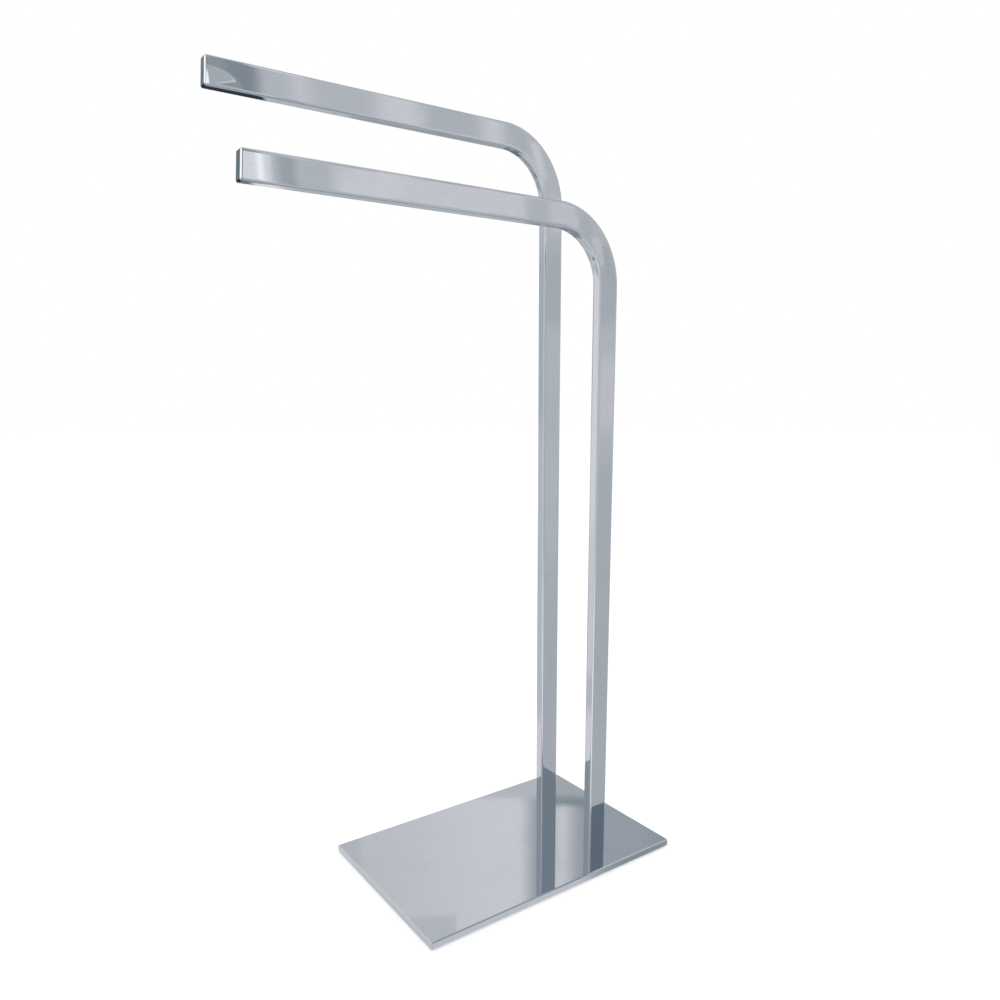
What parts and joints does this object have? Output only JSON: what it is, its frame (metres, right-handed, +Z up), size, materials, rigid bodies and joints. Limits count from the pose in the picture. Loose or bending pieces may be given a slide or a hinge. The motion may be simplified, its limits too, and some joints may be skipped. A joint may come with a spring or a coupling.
{
  "type": "freestanding towel stand",
  "caption": "Freestanding towel stand: a heavy flat plate with bent rectangular tube posts whose arms reach out to one side on staggered tiers.",
  "frame": {"origin": "on the floor, under the middle of the stand's overall length and width", "axes": "+Z up, the arms reach towards -X, the front with the shorter tube faces -Y"},
  "size_m": [0.4685, 0.229, 0.852],
  "materials": {
    "plate_chrome": "mirror polished chrome plate on steel",
    "tube_chrome": "mirror polished chrome plate on steel tube",
    "cap_chrome": "mirror polished chrome plate",
    "block_steel": "plain drawn steel",
    "screw_steel": "zinc plated",
    "pad_rubber": "matte"
  },
  "bodies": {
    "root": {"base_plate": "plate_chrome", "tall_tube": "tube_chrome", "short_tube": "tube_chrome", "tall_end_cap": "cap_chrome", "short_end_cap": "cap_chrome", "tall_foot_block": "block_steel", "short_foot_block": "block_steel", "tall_post_screws": "screw_steel", "short_post_screws": "screw_steel", "pad_front_left": "pad_rubber", "pad_front_right": "pad_rubber", "pad_rear_left": "pad_rubber", "pad_rear_right": "pad_rubber"}
  },
  "joints": []
}
